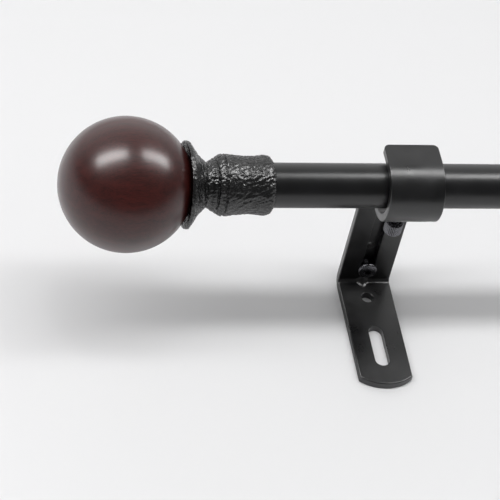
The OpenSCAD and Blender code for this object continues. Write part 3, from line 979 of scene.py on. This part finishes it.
for side in sides:
    makeWallBracket(side, stripLook)
    makeHook(side, hookLook)
print("brackets made")


# ---- camera, floor and light

cameraLook = {"azimuth": 19.22, "elevation": 46.21, "roll": -14.10, "lens": 185.0, "distance": 0.905,
              "fromHook": (-0.0566, -0.0124), "height": 0.0508}


def makeCamera(look):
    azimuth, elevation, roll = (math.radians(look[key]) for key in ("azimuth", "elevation", "roll"))
    ahead = Vector((math.sin(azimuth) * math.cos(elevation), math.cos(azimuth) * math.cos(elevation),
                    -math.sin(elevation)))
    level = Vector((math.cos(azimuth), -math.sin(azimuth), 0))
    up = level.cross(ahead)
    right = level * math.cos(roll) - up * math.sin(roll)
    up = right.cross(ahead)
    target = Vector((hookX["left"] + look["fromHook"][0], rodY + look["fromHook"][1], look["height"]))
    data = bpy.data.cameras.new("camera")
    data.lens = look["lens"]
    data.clip_start, data.clip_end = 0.05, 50
    camera = bpy.data.objects.new("camera", data)
    turn = Matrix((right, up, -ahead)).transposed().to_4x4()
    camera.matrix_world = Matrix.Translation(target - ahead * look["distance"]) @ turn
    bpy.context.scene.collection.objects.link(camera)
    bpy.context.scene.camera = camera


# Each softbox has its direction, watts, length and width. The first set lights matt surfaces only and
# draws the rod's shadow. The second is seen in reflections only and draws the highlights.
mattBoxes = {"left": ((-0.50, -0.06, 0.86), 7.1, 1.2, 0.16),
             "right": ((0.16, -0.07, 0.98), 6.2, 1.0, 0.16),
             "front": ((-0.20, -0.20, 0.96), 0.6, 1.2, 0.30),
             "canopy": ((0.00, 0.12, 0.99), 17.4, 4.0, 4.0)}
glossBoxes = {"left_strip": ((-0.50, 0.15, 0.84), 19.5, 1.1, 0.36),
              "right_strip": ((0.60, 0.15, 0.77), 15.0, 1.0, 0.36)}
lightLook = {"away": 1.3, "aimBeyond": 0.03, "skyBack": 1.0, "skyFront": 0.10, "skyFrom": 0.22,
             "skyTo": 1.0, "floorColour": "#e6e6e7", "floorReach": 12}


def makeBoxes(boxes, glossy, look):
    target = Vector((hookX["left"] - look["aimBeyond"], rodY, rodZ))
    for name, (direction, watts, length, width) in boxes.items():
        data = bpy.data.lights.new("softbox_" + name, "AREA")
        data.shape = "RECTANGLE"
        data.size, data.size_y = length, width
        data.energy = watts
        light = bpy.data.objects.new("softbox_" + name, data)
        towards = Vector(direction).normalized()
        across = Vector((0, 1, 0)).cross(towards).normalized()
        depth = towards.cross(across)
        turn = Matrix((across, depth, towards)).transposed().to_4x4()
        light.matrix_world = Matrix.Translation(target + towards * look["away"]) @ turn
        light.visible_camera = False
        light.visible_glossy = glossy
        light.visible_diffuse = not glossy
        bpy.context.scene.collection.objects.link(light)


def makeSky(look):
    # a room that is bright behind, and dim in front and straight overhead
    world = bpy.data.worlds.new("studio")
    world.use_nodes = True
    tree = world.node_tree
    tree.nodes.clear()
    coords = addNode(tree, "ShaderNodeTexCoord")
    axes = addNode(tree, "ShaderNodeSeparateXYZ", {"Vector": coords.outputs["Generated"]})
    depth = addNode(tree, "ShaderNodeMapRange", {
        "Value": axes.outputs["Y"], "From Min": look["skyFrom"], "From Max": look["skyTo"],
        "To Min": look["skyFront"], "To Max": look["skyBack"]}, interpolation_type="SMOOTHSTEP")
    sky = addNode(tree, "ShaderNodeBackground", {
        "Color": (1, 1, 1, 1), "Strength": depth.outputs["Result"]})
    addNode(tree, "ShaderNodeOutputWorld", {"Surface": sky.outputs["Background"]})
    bpy.context.scene.world = world


def makeFloor(look):
    mesh = bpy.data.meshes.new("floor")
    reach = look["floorReach"]
    corners = [(-reach, -reach, 0), (reach, -reach, 0), (reach, reach, 0), (-reach, reach, 0)]
    mesh.from_pydata(corners, [], [(0, 1, 2, 3)])
    material, _, shader, _ = newMaterial("white_card", Roughness=0.7)
    shader.inputs["Base Color"].default_value = srgb(look["floorColour"])
    floor = newObject("floor", mesh, material)


makeCamera(cameraLook)
makeBoxes(mattBoxes, False, lightLook)
makeBoxes(glossBoxes, True, lightLook)
makeSky(lightLook)
makeFloor(lightLook)
bpy.context.scene.view_settings.view_transform = "Standard"
print("camera, floor and lights made")
